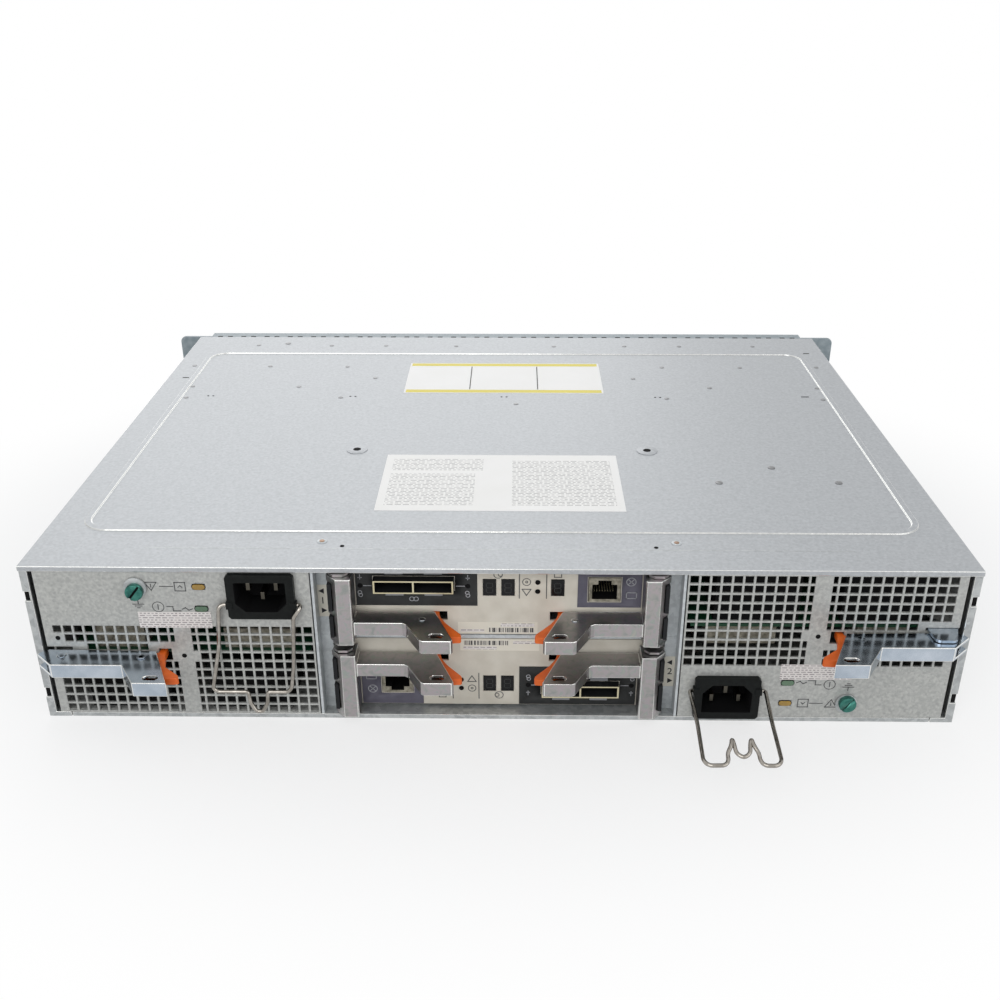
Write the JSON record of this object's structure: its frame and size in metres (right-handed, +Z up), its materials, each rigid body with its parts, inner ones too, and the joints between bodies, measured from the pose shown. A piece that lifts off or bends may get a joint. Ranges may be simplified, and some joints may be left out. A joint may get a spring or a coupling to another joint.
{
  "type": "disk shelf enclosure",
  "caption": "Rack-mount disk shelf: sheet-steel case with drive carriers at the front, and lever-locked power modules and link cards at the rear.",
  "frame": {"origin": "centre of the chassis floor's underside", "axes": "+Z up; the drives face -Y and the power modules and link cards face +Y; +X is the left-hand side seen from the rear"},
  "size_m": [0.4778, 0.4024, 0.087],
  "materials": {
    "zinc_sheet": "zinc-plated steel sheet",
    "zinc_cover": "satin zinc-plated steel sheet",
    "trim_paint": "satin blue-grey paint",
    "module_sheet": "spangled zinc-plated steel sheet",
    "card_face": "satin stone-coloured face on steel",
    "lever_zinc": "bright zinc plate",
    "lever_cast": "die-cast, bright passivated plating",
    "latch_orange": "moulded",
    "inlet_plastic": "moulded",
    "bail_wire": "bright wire",
    "circuit_board": "board and parts",
    "port_shell": "plated shell",
    "carrier_grey": "moulded carrier round a disk"
  },
  "bodies": {
    "chassis": {"base_pan": "zinc_sheet", "side_panel_left": "zinc_sheet", "side_panel_right": "zinc_sheet", "top_cover": "zinc_cover", "bay_frame": "zinc_sheet", "front_frame": "trim_paint", "midplane": "circuit_board"},
    "psu_b": {"psu_b_case": "module_sheet", "psu_b_inlet": "inlet_plastic", "psu_b_rear_plate": "module_sheet", "psu_b_internals": "circuit_board"},
    "psu_b_bail": {"psu_b_bail": "bail_wire"},
    "psu_b_lever": {"psu_b_lever": "lever_zinc"},
    "psu_b_latch": {"psu_b_latch": "latch_orange"},
    "lcc_b": {"lcc_b_tray": "card_face", "lcc_b_board": "circuit_board", "lcc_b_ports": "port_shell"},
    "lcc_b_lever_left": {"lcc_b_lever_left": "lever_cast"},
    "lcc_b_latch_left": {"lcc_b_latch_left": "latch_orange"},
    "lcc_b_lever_right": {"lcc_b_lever_right": "lever_cast"},
    "lcc_b_latch_right": {"lcc_b_latch_right": "latch_orange"},
    "psu_a": {"psu_a_case": "module_sheet", "psu_a_inlet": "inlet_plastic", "psu_a_rear_plate": "module_sheet", "psu_a_internals": "circuit_board"},
    "psu_a_bail": {"psu_a_bail": "bail_wire"},
    "psu_a_lever": {"psu_a_lever": "lever_zinc"},
    "psu_a_latch": {"psu_a_latch": "latch_orange"},
    "lcc_a": {"lcc_a_tray": "card_face", "lcc_a_board": "circuit_board", "lcc_a_ports": "port_shell"},
    "lcc_a_lever_left": {"lcc_a_lever_left": "lever_cast"},
    "lcc_a_latch_left": {"lcc_a_latch_left": "latch_orange"},
    "lcc_a_lever_right": {"lcc_a_lever_right": "lever_cast"},
    "lcc_a_latch_right": {"lcc_a_latch_right": "latch_orange"},
    "drive_01": {"drive_01": "carrier_grey"},
    "drive_02": {"drive_02": "carrier_grey"},
    "drive_03": {"drive_03": "carrier_grey"},
    "drive_04": {"drive_04": "carrier_grey"},
    "drive_05": {"drive_05": "carrier_grey"},
    "drive_06": {"drive_06": "carrier_grey"},
    "drive_07": {"drive_07": "carrier_grey"},
    "drive_08": {"drive_08": "carrier_grey"},
    "drive_09": {"drive_09": "carrier_grey"},
    "drive_10": {"drive_10": "carrier_grey"},
    "drive_11": {"drive_11": "carrier_grey"},
    "drive_12": {"drive_12": "carrier_grey"},
    "drive_13": {"drive_13": "carrier_grey"},
    "drive_14": {"drive_14": "carrier_grey"},
    "drive_15": {"drive_15": "carrier_grey"},
    "drive_16": {"drive_16": "carrier_grey"},
    "drive_17": {"drive_17": "carrier_grey"},
    "drive_18": {"drive_18": "carrier_grey"},
    "drive_19": {"drive_19": "carrier_grey"},
    "drive_20": {"drive_20": "carrier_grey"},
    "drive_21": {"drive_21": "carrier_grey"},
    "drive_22": {"drive_22": "carrier_grey"},
    "drive_23": {"drive_23": "carrier_grey"},
    "drive_24": {"drive_24": "carrier_grey"},
    "drive_25": {"drive_25": "carrier_grey"}
  },
  "joints": [
    {"name": "psu_b_slide", "type": "slide", "parent": "chassis", "child": "psu_b", "axis": [0, 1, 0], "range_m": [0, 0.2]},
    {"name": "psu_b_lever_swing", "type": "hinge", "parent": "psu_b", "child": "psu_b_lever", "pos_m": [0.2085, 0.1753, 0.0369], "axis": [0, 0, -1], "range_deg": [0, 65]},
    {"name": "psu_b_latch_press", "type": "hinge", "parent": "psu_b_lever", "child": "psu_b_latch", "pos_m": [0.1699, 0.1764, 0.0369], "axis": [0, 0, -1], "range_deg": [0, 5], "stiffness_Nm_per_rad": 0.4, "springref_deg": -2.86},
    {"name": "psu_b_bail_swing", "type": "hinge", "parent": "psu_b", "child": "psu_b_bail", "pos_m": [0.1112, 0.17085, 0.0668], "axis": [1, 0, 0], "range_deg": [0, 95]},
    {"name": "psu_a_slide", "type": "slide", "parent": "chassis", "child": "psu_a", "axis": [0, 1, 0], "range_m": [0, 0.2]},
    {"name": "psu_a_lever_swing", "type": "hinge", "parent": "psu_a", "child": "psu_a_lever", "pos_m": [-0.2085, 0.1753, 0.0495], "axis": [0, 0, 1], "range_deg": [0, 65]},
    {"name": "psu_a_latch_press", "type": "hinge", "parent": "psu_a_lever", "child": "psu_a_latch", "pos_m": [-0.1699, 0.1764, 0.0495], "axis": [0, 0, 1], "range_deg": [0, 5], "stiffness_Nm_per_rad": 0.4, "springref_deg": -2.86},
    {"name": "psu_a_bail_swing", "type": "hinge", "parent": "psu_a", "child": "psu_a_bail", "pos_m": [-0.1112, 0.17085, 0.0196], "axis": [1, 0, 0], "range_deg": [-20, 80]},
    {"name": "lcc_b_slide", "type": "slide", "parent": "chassis", "child": "lcc_b", "axis": [0, 1, 0], "range_m": [0, 0.2]},
    {"name": "lcc_b_lever_left_swing", "type": "hinge", "parent": "lcc_b", "child": "lcc_b_lever_left", "pos_m": [0.0745, 0.167, 0.0642], "axis": [0, 0, -1], "range_deg": [0, 70]},
    {"name": "lcc_b_latch_left_press", "type": "hinge", "parent": "lcc_b_lever_left", "child": "lcc_b_latch_left", "pos_m": [0.0361, 0.1697, 0.0549], "axis": [0, 0, -1], "range_deg": [0, 5], "stiffness_Nm_per_rad": 0.4, "springref_deg": -2.86},
    {"name": "lcc_b_lever_right_swing", "type": "hinge", "parent": "lcc_b", "child": "lcc_b_lever_right", "pos_m": [-0.0745, 0.167, 0.0642], "axis": [0, 0, 1], "range_deg": [0, 70]},
    {"name": "lcc_b_latch_right_press", "type": "hinge", "parent": "lcc_b_lever_right", "child": "lcc_b_latch_right", "pos_m": [-0.0361, 0.1697, 0.0549], "axis": [0, 0, 1], "range_deg": [0, 5], "stiffness_Nm_per_rad": 0.4, "springref_deg": -2.86},
    {"name": "lcc_a_slide", "type": "slide", "parent": "chassis", "child": "lcc_a", "axis": [0, 1, 0], "range_m": [0, 0.2]},
    {"name": "lcc_a_lever_left_swing", "type": "hinge", "parent": "lcc_a", "child": "lcc_a_lever_left", "pos_m": [-0.0745, 0.167, 0.0222], "axis": [0, 0, 1], "range_deg": [0, 70]},
    {"name": "lcc_a_latch_left_press", "type": "hinge", "parent": "lcc_a_lever_left", "child": "lcc_a_latch_left", "pos_m": [-0.0361, 0.1697, 0.0315], "axis": [0, 0, 1], "range_deg": [0, 5], "stiffness_Nm_per_rad": 0.4, "springref_deg": -2.86},
    {"name": "lcc_a_lever_right_swing", "type": "hinge", "parent": "lcc_a", "child": "lcc_a_lever_right", "pos_m": [0.0745, 0.167, 0.0222], "axis": [0, 0, -1], "range_deg": [0, 70]},
    {"name": "lcc_a_latch_right_press", "type": "hinge", "parent": "lcc_a_lever_right", "child": "lcc_a_latch_right", "pos_m": [0.0361, 0.1697, 0.0315], "axis": [0, 0, -1], "range_deg": [0, 5], "stiffness_Nm_per_rad": 0.4, "springref_deg": -2.86},
    {"name": "drive_01_pull", "type": "slide", "parent": "chassis", "child": "drive_01", "axis": [0, -1, 0], "range_m": [0, 0.112]},
    {"name": "drive_02_pull", "type": "slide", "parent": "chassis", "child": "drive_02", "axis": [0, -1, 0], "range_m": [0, 0.112]},
    {"name": "drive_03_pull", "type": "slide", "parent": "chassis", "child": "drive_03", "axis": [0, -1, 0], "range_m": [0, 0.112]},
    {"name": "drive_04_pull", "type": "slide", "parent": "chassis", "child": "drive_04", "axis": [0, -1, 0], "range_m": [0, 0.112]},
    {"name": "drive_05_pull", "type": "slide", "parent": "chassis", "child": "drive_05", "axis": [0, -1, 0], "range_m": [0, 0.112]},
    {"name": "drive_06_pull", "type": "slide", "parent": "chassis", "child": "drive_06", "axis": [0, -1, 0], "range_m": [0, 0.112]},
    {"name": "drive_07_pull", "type": "slide", "parent": "chassis", "child": "drive_07", "axis": [0, -1, 0], "range_m": [0, 0.112]},
    {"name": "drive_08_pull", "type": "slide", "parent": "chassis", "child": "drive_08", "axis": [0, -1, 0], "range_m": [0, 0.112]},
    {"name": "drive_09_pull", "type": "slide", "parent": "chassis", "child": "drive_09", "axis": [0, -1, 0], "range_m": [0, 0.112]},
    {"name": "drive_10_pull", "type": "slide", "parent": "chassis", "child": "drive_10", "axis": [0, -1, 0], "range_m": [0, 0.112]},
    {"name": "drive_11_pull", "type": "slide", "parent": "chassis", "child": "drive_11", "axis": [0, -1, 0], "range_m": [0, 0.112]},
    {"name": "drive_12_pull", "type": "slide", "parent": "chassis", "child": "drive_12", "axis": [0, -1, 0], "range_m": [0, 0.112]},
    {"name": "drive_13_pull", "type": "slide", "parent": "chassis", "child": "drive_13", "axis": [0, -1, 0], "range_m": [0, 0.112]},
    {"name": "drive_14_pull", "type": "slide", "parent": "chassis", "child": "drive_14", "axis": [0, -1, 0], "range_m": [0, 0.112]},
    {"name": "drive_15_pull", "type": "slide", "parent": "chassis", "child": "drive_15", "axis": [0, -1, 0], "range_m": [0, 0.112]},
    {"name": "drive_16_pull", "type": "slide", "parent": "chassis", "child": "drive_16", "axis": [0, -1, 0], "range_m": [0, 0.112]},
    {"name": "drive_17_pull", "type": "slide", "parent": "chassis", "child": "drive_17", "axis": [0, -1, 0], "range_m": [0, 0.112]},
    {"name": "drive_18_pull", "type": "slide", "parent": "chassis", "child": "drive_18", "axis": [0, -1, 0], "range_m": [0, 0.112]},
    {"name": "drive_19_pull", "type": "slide", "parent": "chassis", "child": "drive_19", "axis": [0, -1, 0], "range_m": [0, 0.112]},
    {"name": "drive_20_pull", "type": "slide", "parent": "chassis", "child": "drive_20", "axis": [0, -1, 0], "range_m": [0, 0.112]},
    {"name": "drive_21_pull", "type": "slide", "parent": "chassis", "child": "drive_21", "axis": [0, -1, 0], "range_m": [0, 0.112]},
    {"name": "drive_22_pull", "type": "slide", "parent": "chassis", "child": "drive_22", "axis": [0, -1, 0], "range_m": [0, 0.112]},
    {"name": "drive_23_pull", "type": "slide", "parent": "chassis", "child": "drive_23", "axis": [0, -1, 0], "range_m": [0, 0.112]},
    {"name": "drive_24_pull", "type": "slide", "parent": "chassis", "child": "drive_24", "axis": [0, -1, 0], "range_m": [0, 0.112]},
    {"name": "drive_25_pull", "type": "slide", "parent": "chassis", "child": "drive_25", "axis": [0, -1, 0], "range_m": [0, 0.112]}
  ]
}
